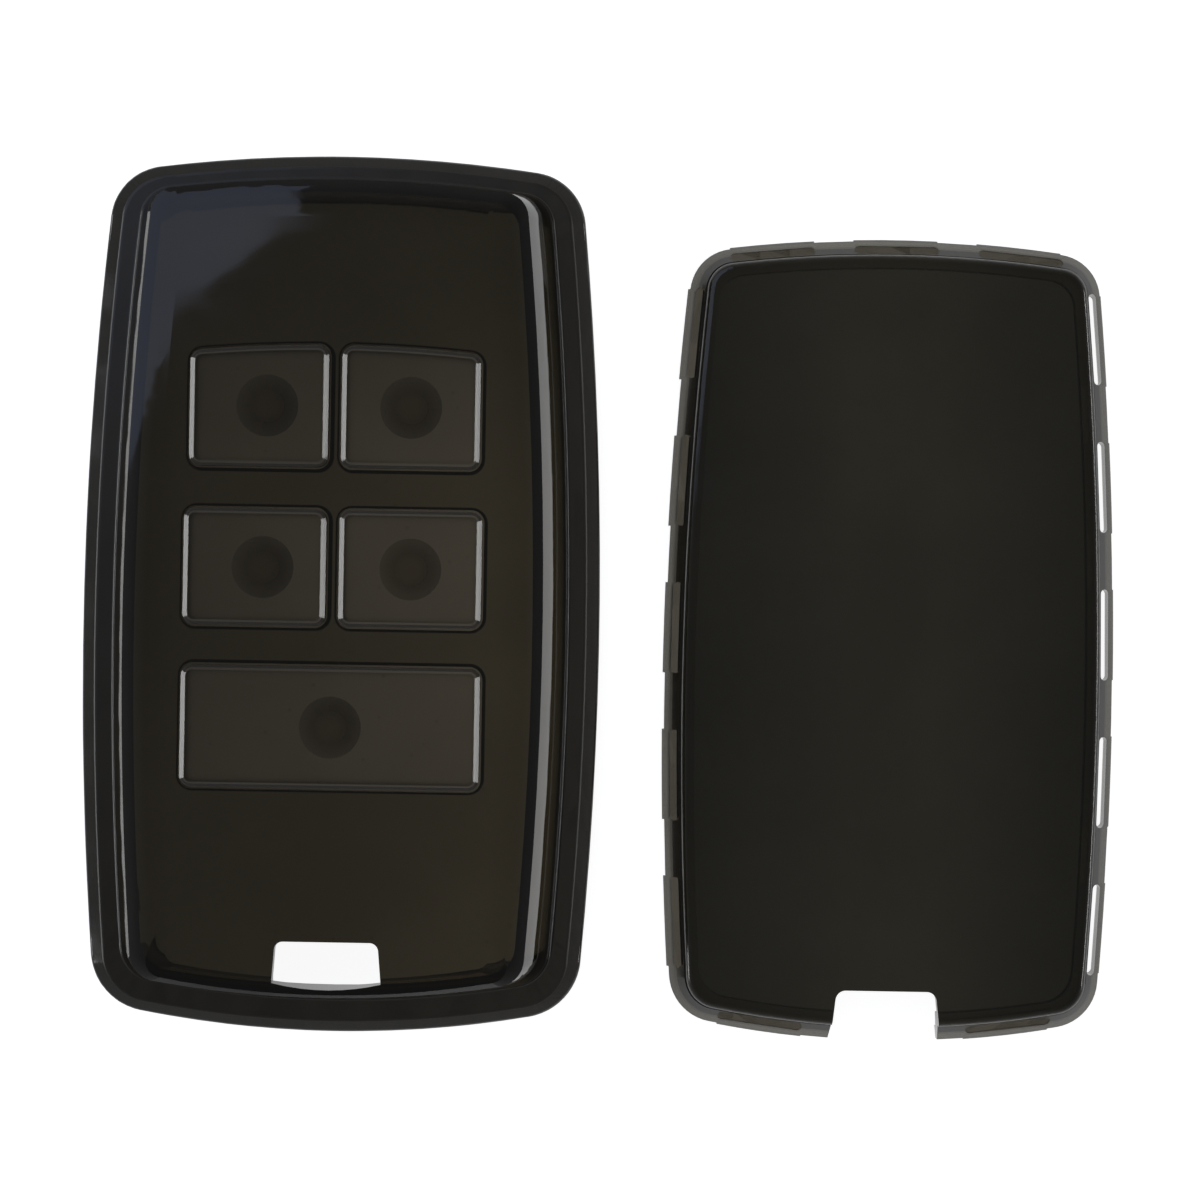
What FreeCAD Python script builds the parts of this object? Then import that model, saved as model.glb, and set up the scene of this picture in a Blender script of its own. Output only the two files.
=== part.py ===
import FreeCAD, Part
import Sketcher
import math
import os
import re

# Soft moulded cover for a car key fob: a front half with five button pads and a back half that snaps into it.
# The halves lie side by side with their outer faces up and their ring ends towards -Y.
# Millimetres, +Z up, origin on the table under the middle of the pair.

SIZES = {
    # Front half: lip outline on the table, four long arcs joined by four corner arcs
    "front_width": 48.4,
    "front_length": 82.0,
    "front_side_radius": 380.0,
    "front_top_radius": 129.0,
    "front_ring_radius": 101.0,
    "front_top_corner": 5.3,
    "front_ring_corner": 5.8,
    "front_waist_drop": 3.4,
    # Front half: heights of the lip, of the rim, of the steep wall's upper edge and of the face
    "lip_height": 1.8,
    "rim_height": 2.6,
    "wall_height": 11.0,
    "front_height": 12.0,
    "lip_round": 0.4,
    "foot_round": 0.3,
    # Front half: how far in each step goes: slope up to the rim's crest, ledge, leaning wall, soft shoulder
    "crest_side": 1.4,
    "crest_top": 1.2,
    "crest_ring": 1.15,
    "ledge_side": 1.6,
    "ledge_top": 1.1,
    "ledge_ring": 2.0,
    "lean_side": 2.15,
    "lean_top": 1.2,
    "lean_ring": 1.2,
    "shoulder_side": 3.2,
    "shoulder_top": 3.4,
    "shoulder_ring": 1.7,
    # Front half: corners of the crest, of the wall's foot and upper edge, and of the face
    "crest_top_corner": 4.1,
    "crest_ring_corner": 4.6,
    "foot_top_corner": 3.0,
    "foot_ring_corner": 3.4,
    "wall_top_corner": 2.3,
    "wall_ring_corner": 2.6,
    "face_top_corner": 1.2,
    "face_ring_corner": 1.4,
    # Front half: walls, the bend line across the face and the fall of the face beyond it, in degrees
    "side_wall": 1.2,
    "face_wall": 1.4,
    "bend_margin": 10.4,
    "bend_angle": 7.0,
    # Front half: ring slot
    "slot_width": 9.9,
    "slot_flare": 0.3,
    "slot_height": 4.4,
    "slot_sag": 0.6,
    "slot_corner": 0.8,
    "slot_margin": 9.5,
    # Button rows: how far their middles lie above the middle of the front half, and their sizes
    "upper_row_rise": 16.9,
    "upper_row_width": 26.2,
    "upper_row_height": 11.0,
    "upper_row_crown": 130.0,
    "middle_row_rise": 2.3,
    "middle_row_width": 26.9,
    "middle_row_height": 10.5,
    "lower_row_rise": -12.1,
    "lower_row_width": 27.0,
    "lower_row_height": 11.0,
    "pad_divider": 1.2,
    "pad_corner": 1.0,
    # Button pads: hollow caps that stand proud of the face, each with a web under the sheet and a press nub
    "pad_rise": 0.5,
    "pad_bevel": 0.45,
    "pad_bevel_rise": 0.33,
    "pad_sheet": 1.0,
    "pad_wall": 0.45,
    "pad_hollow_corner": 0.55,
    "pad_gap": 0.2,
    "web_lap": 0.25,
    "web_gap": 0.15,
    "web_thickness": 0.45,
    "nub_diameter": 5.6,
    "nub_height": 1.7,
    "nub_tip_radius": 2.2,
    "left_nub_shift": 0.7,
    # Back half: skirt outline, which the front half's rim takes with a clearance
    "skirt_width": 42.0,
    "skirt_length": 75.0,
    "skirt_side_radius": 400.0,
    "skirt_top_radius": 121.0,
    "skirt_ring_radius": 90.0,
    "skirt_top_corner": 4.2,
    "skirt_ring_corner": 4.6,
    "skirt_waist_drop": 5.0,
    "skirt_height": 1.2,
    "skirt_wall": 1.2,
    "skirt_fit": 0.1,
    # Back half: slope above the skirt and the crowned panel that rises from it
    "slope_width": 1.4,
    "slope_rise": 1.8,
    "slope_drop": 0.3,
    "panel_step": 0.15,
    "panel_wall": 1.2,
    "panel_round": 0.7,
    "panel_top_corner": 2.6,
    "panel_ring_corner": 3.0,
    "back_height": 4.8,
    "crown_across": 400.0,
    "crown_along": 1800.0,
    # Back half: snap beads round the skirt, and the play of the groove in the rim that they click into
    "bead_rise": 0.2,
    "bead_height": 0.6,
    "bead_level": 0.5,
    "side_bead_length": 8.5,
    "side_bead_pitch": 13.8,
    "side_bead_shift": 0.9,
    "end_bead_length": 7.9,
    "end_bead_pitch": 11.6,
    "bead_play": 0.1,
    # Back half: slot in the slope behind each bead; those of the right side are open, the others keep a floor
    "spring_inset": 0.93,
    "spring_width": 0.85,
    "spring_floor": 1.1,
    # Back half: open notch for the key ring
    "notch_width": 9.2,
    "notch_flare": 0.55,
    "notch_depth": 5.0,
    "notch_corner": 0.95,
    # Room between the halves as they lie
    "halves_gap": 6.0,
}

SIDE_BEAD_COUNT = 5
END_BEAD_COUNT = 3
SHOULDER_SECTIONS = 5
SHOULDER_START = math.radians(60)
SHOULDER_END = math.radians(86)
WALL_BEND_LEVEL = 0.64
WALL_BEND_LEAN = 0.56
CUT_MARGIN = 2.0
LEVEL_TOLERANCE = 1e-4
PLACE_TOLERANCE = 1e-3

doc = FreeCAD.newDocument("key_fob_cover")
sheet = doc.addObject("Spreadsheet::Sheet", "Sizes")
for row, (alias, number) in enumerate(SIZES.items(), start=1):
    sheet.set(f"A{row}", alias)
    sheet.set(f"B{row}", str(number))
    sheet.setAlias(f"B{row}", alias)
doc.recompute()


# Expressions on the sheet
def value(expression):
    """Number that an expression on the sheet's names comes to."""
    return float(sheet.evalExpression(expression))


def bound(expression):
    """The expression as other objects write it, with the sheet before each of its names."""
    def prefixed(found):
        return f"Sizes.{found[0]}" if found[0] in SIZES else found[0]

    return re.sub(r"[a-z_]+", prefixed, expression)


def bind(thing, **expressions):
    """Sets properties of an object by expressions; a double underscore stands for a dot."""
    for name, expression in expressions.items():
        thing.setExpression(name.replace("__", "."), bound(expression))


# Sketches
def new_sketch(body, name, plane="XY_Plane", **offset):
    """Sketch on one of the body's origin planes, moved by expressions along the plane's own x, y and z."""
    sketch = body.newObject("Sketcher::SketchObject", name)
    support = next(item for item in body.Origin.OriginFeatures if item.Role == plane)
    sketch.AttachmentSupport = [(support, "")]
    sketch.MapMode = "FlatFace"
    for axis, expression in offset.items():
        sketch.setExpression(f"AttachmentOffset.Base.{axis}", bound(expression))
    return sketch


def dimension(sketch, kind, *where, by):
    """Dimension whose number comes from an expression on the sheet."""
    index = sketch.addConstraint(Sketcher.Constraint(kind, *where, value(by)))
    sketch.setExpression(f"Constraints[{index}]", bound(by))


def join(sketch, kind, count):
    """Joins the end of each edge of a closed outline to the start of the next."""
    for edge in range(count):
        sketch.addConstraint(Sketcher.Constraint(kind, edge, 2, (edge + 1) % count, 1))


def line(start, end):
    return Part.LineSegment(FreeCAD.Vector(*start, 0), FreeCAD.Vector(*end, 0))


def arc(centre, radius, start, end):
    """Arc that runs anticlockwise from one point to another."""
    first = math.atan2(start[1] - centre[1], start[0] - centre[0])
    last = math.atan2(end[1] - centre[1], end[0] - centre[0])
    circle = Part.Circle(FreeCAD.Vector(*centre, 0), FreeCAD.Vector(0, 0, 1), radius)
    return Part.ArcOfCircle(circle, first, last if last > first else last + 2 * math.pi)


def beyond(centre, radius, point):
    """Point of a circle on the ray from its centre through another point."""
    reach = math.dist(centre, point)
    return tuple(c + (p - c) * radius / reach for c, p in zip(centre, point))


def mirrored(point):
    return (-point[0], point[1])


def right_crossing(first, first_radius, second, second_radius):
    """Right-hand crossing of two circles."""
    apart = math.dist(first, second)
    along = (apart ** 2 + first_radius ** 2 - second_radius ** 2) / (2 * apart)
    across = math.sqrt(first_radius ** 2 - along ** 2)
    step = ((second[0] - first[0]) / apart, (second[1] - first[1]) / apart)
    middle = (first[0] + along * step[0], first[1] + along * step[1])
    turned = (across * step[1], -across * step[0])
    return max((middle[0] + side * turned[0], middle[1] + side * turned[1]) for side in (1, -1))


def inset_outline(half, side, top, ring, top_corner, ring_corner):
    """Outline of one half, moved in by expressions at its sides, its top end and its ring end."""
    return {
        "half_width": f"{half}_width / 2 - ({side})",
        "top": f"{half}_length / 2 - ({top})",
        "ring": f"{half}_length / 2 - ({ring})",
        "waist": f"{half}_waist_drop",
        "side_radius": f"{half}_side_radius - ({side})",
        "top_radius": f"{half}_top_radius - ({top})",
        "ring_radius": f"{half}_ring_radius - ({ring})",
        "top_corner": top_corner,
        "ring_corner": ring_corner,
    }


def barrel_sketch(body, name, outline, level):
    """Closed outline of four long arcs and four corner arcs, each tangent to the next, at a level."""
    sketch = new_sketch(body, name, z=level)
    size = {part: value(expression) for part, expression in outline.items()}
    side = (size["half_width"] - size["side_radius"], -size["waist"])
    top = (0, size["top"] - size["top_radius"])
    ring = (0, size["ring_radius"] - size["ring"])
    corners = []
    for end, end_radius, corner in ((top, size["top_radius"], size["top_corner"]),
                                    (ring, size["ring_radius"], size["ring_corner"])):
        centre = right_crossing(side, size["side_radius"] - corner, end, end_radius - corner)
        corners.append((centre, beyond(side, size["side_radius"], centre), beyond(end, end_radius, centre)))
    (high, high_side, high_end), (low, low_side, low_end) = corners
    sketch.addGeometry([
        arc(side, size["side_radius"], low_side, high_side),
        arc(high, size["top_corner"], high_side, high_end),
        arc(top, size["top_radius"], high_end, mirrored(high_end)),
        arc(mirrored(high), size["top_corner"], mirrored(high_end), mirrored(high_side)),
        arc(mirrored(side), size["side_radius"], mirrored(high_side), mirrored(low_side)),
        arc(mirrored(low), size["ring_corner"], mirrored(low_side), mirrored(low_end)),
        arc(ring, size["ring_radius"], mirrored(low_end), low_end),
        arc(low, size["ring_corner"], low_end, low_side),
    ], False)
    right, high_right, top_end, high_left, left, low_left, ring_end, low_right = range(8)
    join(sketch, "Tangent", 8)
    for edge, twin, radius in ((right, left, "side_radius"), (high_right, high_left, "top_corner"),
                               (low_right, low_left, "ring_corner")):
        dimension(sketch, "Radius", edge, by=outline[radius])
        sketch.addConstraint(Sketcher.Constraint("Equal", edge, twin))
    for edge, radius in ((top_end, "top_radius"), (ring_end, "ring_radius")):
        dimension(sketch, "Radius", edge, by=outline[radius])
        sketch.addConstraint(Sketcher.Constraint("PointOnObject", edge, 3, -2))
    to_top = f"{outline['top_radius']} - ({outline['top']})"
    to_ring = f"{outline['ring_radius']} - ({outline['ring']})"
    to_side = f"{outline['side_radius']} - ({outline['half_width']})"
    dimension(sketch, "DistanceY", top_end, 3, -1, 1, by=to_top)
    dimension(sketch, "DistanceY", -1, 1, ring_end, 3, by=to_ring)
    dimension(sketch, "DistanceX", right, 3, -1, 1, by=to_side)
    dimension(sketch, "DistanceY", right, 3, -1, 1, by=outline["waist"])
    sketch.addConstraint(Sketcher.Constraint("Symmetric", right, 3, left, 3, -2))
    return sketch


def pad_sketch(body, name, place, grow, corner, level):
    """Rounded outline of a button pad, grown by an expression, with a bowed upper edge on a crowned row."""
    sketch = new_sketch(body, name, z=level)
    left_by = f"{place['left']} - ({grow})"
    right_by = f"{place['right']} + ({grow})"
    low_by = f"{place['low']} - ({grow})"
    high_by = f"{place['high']} + ({grow})"
    left, right, low, high, radius = (value(by) for by in (left_by, right_by, low_by, high_by, corner))
    inner_left, inner_right, inner_low = left + radius, right - radius, low + radius
    if place["crown"]:
        crown_by = f"{place['crown']} + ({grow})"
        crown = value(crown_by)
        hub = (0, high - crown)
        turns = [(x, hub[1] + math.sqrt((crown - radius) ** 2 - x ** 2)) for x in (inner_left, inner_right)]
        high_left, high_right = (beyond(hub, crown, turn) for turn in turns)
        upper_edge = arc(hub, crown, high_right, high_left)
    else:
        turns = [(inner_left, high - radius), (inner_right, high - radius)]
        high_left, high_right = (inner_left, high), (inner_right, high)
        upper_edge = line(high_right, high_left)
    sketch.addGeometry([
        line((inner_left, low), (inner_right, low)),
        arc((inner_right, inner_low), radius, (inner_right, low), (right, inner_low)),
        line((right, inner_low), (right, turns[1][1])),
        arc(turns[1], radius, (right, turns[1][1]), high_right),
        upper_edge,
        arc(turns[0], radius, high_left, (left, turns[0][1])),
        line((left, turns[0][1]), (left, inner_low)),
        arc((inner_left, inner_low), radius, (left, inner_low), (inner_left, low)),
    ], False)
    join(sketch, "Tangent", 8)
    sketch.addConstraint(Sketcher.Constraint("Horizontal", 0))
    for upright in (2, 6):
        sketch.addConstraint(Sketcher.Constraint("Vertical", upright))
    dimension(sketch, "Radius", 1, by=corner)
    for twin in (3, 5, 7):
        sketch.addConstraint(Sketcher.Constraint("Equal", 1, twin))
    dimension(sketch, "DistanceX", -1, 1, 6, 1, by=left_by)
    dimension(sketch, "DistanceX", -1, 1, 2, 1, by=right_by)
    dimension(sketch, "DistanceY", -1, 1, 0, 1, by=low_by)
    if place["crown"]:
        dimension(sketch, "Radius", 4, by=crown_by)
        sketch.addConstraint(Sketcher.Constraint("PointOnObject", 4, 3, -2))
        dimension(sketch, "DistanceY", 4, 3, -1, 1, by=f"{crown_by} - ({high_by})")
    else:
        sketch.addConstraint(Sketcher.Constraint("Horizontal", 4))
        dimension(sketch, "DistanceY", -1, 1, 4, 1, by=high_by)
    return sketch


def corner_sketch(sketch, points, bow=None, bow_centre=None):
    """Closed outline through corner points given by expressions; its last edge may bow about the y axis."""
    corners = [(value(x), value(y)) for x, y in points]
    count = len(corners)
    edges = [line(corners[i], corners[(i + 1) % count]) for i in range(count)]
    if bow:
        edges[-1] = arc((0, value(bow_centre)), value(bow), corners[-1], corners[0])
    sketch.addGeometry(edges, False)
    join(sketch, "Coincident", count)
    for edge, (x, y) in enumerate(points):
        dimension(sketch, "DistanceX", -1, 1, edge, 1, by=x)
        dimension(sketch, "DistanceY", -1, 1, edge, 1, by=y)
    if bow:
        dimension(sketch, "Radius", count - 1, by=bow)
    return sketch


def slot_outlines(sketch, slots, width):
    """Round-ended slots, each between two end centres given by expressions."""
    radius = value(f"({width}) / 2")
    for first, last in slots:
        start, end = ((value(x), value(y)) for x, y in (first, last))
        length = math.dist(start, end)
        side = ((start[1] - end[1]) / length * radius, (end[0] - start[0]) / length * radius)
        corners = [(point[0] + sign * side[0], point[1] + sign * side[1])
                   for point, sign in ((start, -1), (end, -1), (end, 1), (start, 1))]
        base = sketch.GeometryCount
        sketch.addGeometry([
            line(corners[0], corners[1]),
            arc(end, radius, corners[1], corners[2]),
            line(corners[2], corners[3]),
            arc(start, radius, corners[3], corners[0]),
        ], False)
        for edge in range(4):
            sketch.addConstraint(Sketcher.Constraint("Tangent", base + edge, 2, base + (edge + 1) % 4, 1))
        sketch.addConstraint(Sketcher.Constraint("Equal", base + 1, base + 3))
        dimension(sketch, "Radius", base + 1, by=f"({width}) / 2")
        for edge, (x, y) in ((base + 3, first), (base + 1, last)):
            dimension(sketch, "DistanceX", -1, 1, edge, 3, by=x)
            dimension(sketch, "DistanceY", -1, 1, edge, 3, by=y)
    return sketch


# Features
def pad(body, name, sketch, length):
    feature = body.newObject("PartDesign::Pad", name)
    feature.Profile = sketch
    bind(feature, Length=length)
    return feature


def cut_through(body, name, sketch, both_ways=False):
    """Pocket through the whole body, straight down from its sketch or both ways from it."""
    feature = body.newObject("PartDesign::Pocket", name)
    feature.Profile = sketch
    feature.Type = "ThroughAll"
    feature.SideType = "Symmetric" if both_ways else "One side"
    return feature


def loft(body, name, sketches, ruled):
    feature = body.newObject("PartDesign::AdditiveLoft", name)
    feature.Profile = sketches[0]
    feature.Sections = sketches[1:]
    feature.Ruled = ruled
    return feature


def fillet(body, name, base, radius, wanted):
    """Rounds the edges of a feature that a test picks."""
    doc.recompute()
    names = [f"Edge{i}" for i, edge in enumerate(base.Shape.Edges, start=1) if wanted(edge)]
    feature = body.newObject("PartDesign::Fillet", name)
    feature.Base = (base, names)
    bind(feature, Radius=radius)
    return feature


def level_at(edge, height):
    """Whether an edge lies flat at a height."""
    box = edge.BoundBox
    return max(abs(box.ZMin - height), abs(box.ZMax - height)) < LEVEL_TOLERANCE


def upright_at(edge, points):
    """Whether an edge stands upright over one of some points."""
    box = edge.BoundBox

    def over(x, y):
        aside = [abs(limit - place) for limit, place in
                 ((box.XMin, x), (box.XMax, x), (box.YMin, y), (box.YMax, y))]
        return max(aside) < PLACE_TOLERANCE

    return any(over(x, y) for x, y in points)


def within(edge, outline):
    """Whether an edge lies on an outline or inside it."""
    box = edge.BoundBox
    half, top, ring = (value(outline[part]) + PLACE_TOLERANCE for part in ("half_width", "top", "ring"))
    return box.XMax < half and box.YMax < top and box.YMin > -ring


# Front half
FACE_UNDERSIDE = "front_height - face_wall"
WEB_UNDERSIDE = f"{FACE_UNDERSIDE} - web_gap - web_thickness"
SEAT_DEPTH = "skirt_height + skirt_fit"
CREST = {"crest": 1}
FOOT = {"crest": 1, "ledge": 1}
BEND_DROP = "(front_length / 2 - bend_margin)"
SLOT_DROP = "(front_length / 2 - slot_margin)"


def pad_place(row, column):
    """Edges of a button pad and the place of its nub, from the middle of the front half."""
    half = f"{row}_width / 2"
    left = f"-({half})" if column != "right" else "pad_divider / 2"
    right = half if column != "left" else "-(pad_divider / 2)"
    shift = " + left_nub_shift" if column == "left" else ""
    return {
        "left": left,
        "right": right,
        "low": f"{row}_rise - {row}_height / 2",
        "high": f"{row}_rise + {row}_height / 2",
        "crown": f"{row}_crown" if f"{row}_crown" in SIZES else None,
        "nub_across": f"(({left}) + ({right})) / 2{shift}",
        "nub_along": f"{row}_rise",
    }


BUTTONS = {
    "upper_left_button": pad_place("upper_row", "left"),
    "upper_right_button": pad_place("upper_row", "right"),
    "middle_left_button": pad_place("middle_row", "left"),
    "middle_right_button": pad_place("middle_row", "right"),
    "lower_button": pad_place("lower_row", "whole"),
}


def stepped_outline(steps, top_corner, ring_corner, wall="0"):
    """Outline of the front half moved in by shares of its steps and by a wall."""
    insets = [" + ".join([f"{step}_{place} * {share}" for step, share in steps.items()] + [wall])
              for place in ("side", "top", "ring")]
    return inset_outline("front", *insets, top_corner, ring_corner)


def between(low, high, share):
    """Corner size part of the way from one named corner to another."""
    return f"{low} + ({high} - {low}) * {share}"


def foot_outline(wall="0"):
    return stepped_outline(FOOT, "foot_top_corner", "foot_ring_corner", wall)


def wall_loft(body, name, wall, spring):
    """The steep wall from the ledge up to where the shoulder springs; it leans in more towards its top."""
    sketches = []
    for step, (lean, rise) in enumerate(((0, 0), (WALL_BEND_LEAN, WALL_BEND_LEVEL), (1, 1))):
        outline = stepped_outline(
            FOOT | {"lean": lean},
            between("foot_top_corner", "wall_top_corner", lean),
            between("foot_ring_corner", "wall_ring_corner", lean),
            wall)
        level = f"rim_height + ({spring} - rim_height) * {rise}"
        sketches.append(barrel_sketch(body, f"{name}Section{step}", outline, level))
    return loft(body, name, sketches, ruled=False)


def shoulder_loft(body, name, wall, spring, roof):
    """The soft shoulder: an arc that breaks inward at the wall's upper edge and ends almost level."""
    span = math.cos(SHOULDER_START) - math.cos(SHOULDER_END)
    climb = math.sin(SHOULDER_END) - math.sin(SHOULDER_START)
    sketches = []
    for step in range(SHOULDER_SECTIONS):
        turn = SHOULDER_START + (SHOULDER_END - SHOULDER_START) * step / (SHOULDER_SECTIONS - 1)
        inward = round((math.cos(SHOULDER_START) - math.cos(turn)) / span, 6)
        upward = round((math.sin(turn) - math.sin(SHOULDER_START)) / climb, 6)
        outline = stepped_outline(
            FOOT | {"lean": 1, "shoulder": inward},
            between("wall_top_corner", "face_top_corner", inward),
            between("wall_ring_corner", "face_ring_corner", inward),
            wall)
        level = f"{spring} + ({roof} - ({spring})) * {upward}"
        sketches.append(barrel_sketch(body, f"{name}Section{step}", outline, level))
    return loft(body, name, sketches, ruled=False)


def bend(body, name, roof):
    """Takes a wedge off the face, which falls away from the bend line towards the ring end."""
    reach = f"(front_length / 2 + {CUT_MARGIN})"
    sketch = corner_sketch(new_sketch(body, f"{name}Sketch", "YZ_Plane"), [
        (f"-{BEND_DROP}", roof),
        (f"-{BEND_DROP}", f"{roof} + {CUT_MARGIN}"),
        (f"-{reach}", f"{roof} + {CUT_MARGIN}"),
        (f"-{reach}", f"{roof} - ({reach} - {BEND_DROP}) * tan(bend_angle)"),
    ])
    return cut_through(body, name, sketch, both_ways=True)


def front_form():
    """Outer form of the front half: lip, rim, ledge, wall, shoulder and face, with its openings."""
    body = doc.addObject("PartDesign::Body", "FrontForm")
    lip = inset_outline("front", "0", "0", "0", "front_top_corner", "front_ring_corner")
    crest = stepped_outline(CREST, "crest_top_corner", "crest_ring_corner")
    pad(body, "Lip", barrel_sketch(body, "LipOutline", lip, "0"), "lip_height")
    rim = loft(body, "Rim", [barrel_sketch(body, "RimFoot", lip, "lip_height"),
                             barrel_sketch(body, "RimCrest", crest, "rim_height")], ruled=True)
    rounded = [value(level) for level in ("0", "lip_height", "rim_height")]
    fillet(body, "RimRound", rim, "lip_round", lambda edge: any(level_at(edge, level) for level in rounded))
    wall = wall_loft(body, "Wall", "0", "wall_height")
    foot, ledge = foot_outline(), value("rim_height")
    fillet(body, "FootRound", wall, "foot_round", lambda edge: level_at(edge, ledge) and within(edge, foot))
    shoulder_loft(body, "Shoulder", "0", "wall_height", "front_height")
    bend(body, "Bend", "front_height")
    above = f"front_height + {CUT_MARGIN}"
    for name, place in BUTTONS.items():
        outline = pad_sketch(body, f"{name}_opening", place, "pad_gap", "pad_corner + pad_gap", above)
        cut_through(body, f"{name}_cut", outline)
    upper_half, lower_half = "slot_width / 2 - slot_flare", "slot_width / 2"
    slot_ends = f"-({SLOT_DROP} + slot_height - slot_sag)"
    slot_bow = "((slot_width / 2)^2 + slot_sag^2) / (2 * slot_sag)"
    slot = corner_sketch(new_sketch(body, "SlotOutline", z=above), [
        (lower_half, slot_ends),
        (upper_half, f"-{SLOT_DROP}"),
        (f"-({upper_half})", f"-{SLOT_DROP}"),
        (f"-({lower_half})", slot_ends),
    ], bow=slot_bow, bow_centre=f"{slot_bow} - ({SLOT_DROP} + slot_height)")
    tip = cut_through(body, "RingSlot", slot)
    ends = [(side * value(upper_half), -value(SLOT_DROP)) for side in (1, -1)]
    fillet(body, "SlotCorners", tip, "slot_corner", lambda edge: upright_at(edge, ends))
    return body


def front_hollow():
    """Inside of the front half: the seat that takes the skirt, its snap groove and the room for the fob."""
    body = doc.addObject("PartDesign::Body", "FrontHollow")

    def seat_outline(grow):
        out = f"-(skirt_fit + {grow})"
        return skirt_outline(out, f"skirt_top_corner - ({out})", f"skirt_ring_corner - ({out})")

    spring = "wall_height - face_wall"
    room_foot = barrel_sketch(body, "RoomFootOutline", foot_outline("side_wall"), "0")
    pad(body, "RoomFoot", room_foot, "rim_height")
    wall_loft(body, "RoomWall", "side_wall", spring)
    shoulder_loft(body, "RoomShoulder", "side_wall", spring, FACE_UNDERSIDE)
    bend(body, "RoomBend", FACE_UNDERSIDE)
    pad(body, "Seat", barrel_sketch(body, "SeatOutline", seat_outline("0"), f"-{CUT_MARGIN}"),
        f"{SEAT_DEPTH} + {CUT_MARGIN}")
    groove_level = f"{SEAT_DEPTH} - bead_level"
    groove_half = "(bead_height / 2 + bead_play)"
    groove = barrel_sketch(body, "GrooveOutline", seat_outline("bead_rise - skirt_fit + bead_play"),
                           f"{groove_level} - {groove_half}")
    pad(body, "SnapGroove", groove, f"2 * {groove_half}")
    return body


def button(name, place):
    """Button pad: a hollow cap with bevelled edges, a web under the sheet and a press nub inside."""
    body = doc.addObject("PartDesign::Body", name)
    top = "front_height + pad_rise"
    bevel_foot = f"{top} - pad_bevel_rise"
    roof = f"{top} - pad_sheet"
    web = pad_sketch(body, f"{name}_web", place, "pad_gap + web_lap", "pad_corner + pad_gap + web_lap",
                     WEB_UNDERSIDE)
    pad(body, f"{name}_web_pad", web, "web_thickness")
    cap = pad_sketch(body, f"{name}_cap", place, "0", "pad_corner", WEB_UNDERSIDE)
    pad(body, f"{name}_cap_pad", cap, f"{bevel_foot} - ({WEB_UNDERSIDE})")
    loft(body, f"{name}_bevel", [
        pad_sketch(body, f"{name}_bevel_foot", place, "0", "pad_corner", bevel_foot),
        pad_sketch(body, f"{name}_bevel_top", place, "-(pad_bevel)", "pad_corner - pad_bevel", top),
    ], ruled=True)
    hollow = pad_sketch(body, f"{name}_hollow", place, "-(pad_wall)", "pad_hollow_corner", WEB_UNDERSIDE)
    recess = body.newObject("PartDesign::Pocket", f"{name}_recess")
    recess.Profile = hollow
    recess.Reversed = True
    bind(recess, Length=f"{roof} - ({WEB_UNDERSIDE})")
    bearing = new_sketch(body, f"{name}_nub", "XZ_Plane",
                         x=place["nub_across"], z=f"-({place['nub_along']})")
    reach, drop, tip_radius = (value(by) for by in ("nub_diameter / 2", "nub_height", "nub_tip_radius"))
    ceiling, root = value(roof), value(f"{top} - pad_sheet / 2")
    tip, ball = (0, ceiling - drop), (0, ceiling - drop + tip_radius)
    rim = (reach, ceiling)
    turn = math.atan2(rim[1] - ball[1], rim[0]) - math.acos(tip_radius / math.dist(ball, rim))
    touch = (tip_radius * math.cos(turn), ball[1] + tip_radius * math.sin(turn))
    bearing.addGeometry([
        arc(ball, tip_radius, tip, touch),
        line(touch, rim),
        line(rim, (reach, root)),
        line((reach, root), (0, root)),
        line((0, root), tip),
    ], False)
    bearing.addConstraint(Sketcher.Constraint("Tangent", 0, 2, 1, 1))
    for edge in range(1, 5):
        bearing.addConstraint(Sketcher.Constraint("Coincident", edge, 2, (edge + 1) % 5, 1))
    for edge, point in ((0, 3), (0, 1), (4, 1)):
        bearing.addConstraint(Sketcher.Constraint("PointOnObject", edge, point, -2))
    bearing.addConstraint(Sketcher.Constraint("Vertical", 2))
    bearing.addConstraint(Sketcher.Constraint("Horizontal", 3))
    dimension(bearing, "Radius", 0, by="nub_tip_radius")
    dimension(bearing, "DistanceX", -1, 1, 2, 1, by="nub_diameter / 2")
    dimension(bearing, "DistanceY", -1, 1, 2, 1, by=roof)
    dimension(bearing, "DistanceY", 2, 1, 2, 2, by="pad_sheet / 2")
    dimension(bearing, "DistanceY", 0, 1, 2, 1, by="nub_height")
    nub = body.newObject("PartDesign::Revolution", f"{name}_nub_turn")
    nub.Profile = bearing
    nub.ReferenceAxis = (bearing, ["V_Axis"])
    nub.Angle = 360
    return body


# Back half
PANEL_INSET = "slope_width + panel_step"
SLOPE_TOP = "skirt_height + slope_rise"


def skirt_outline(inset, top_corner="skirt_top_corner", ring_corner="skirt_ring_corner"):
    return inset_outline("skirt", inset, inset, inset, top_corner, ring_corner)


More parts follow.
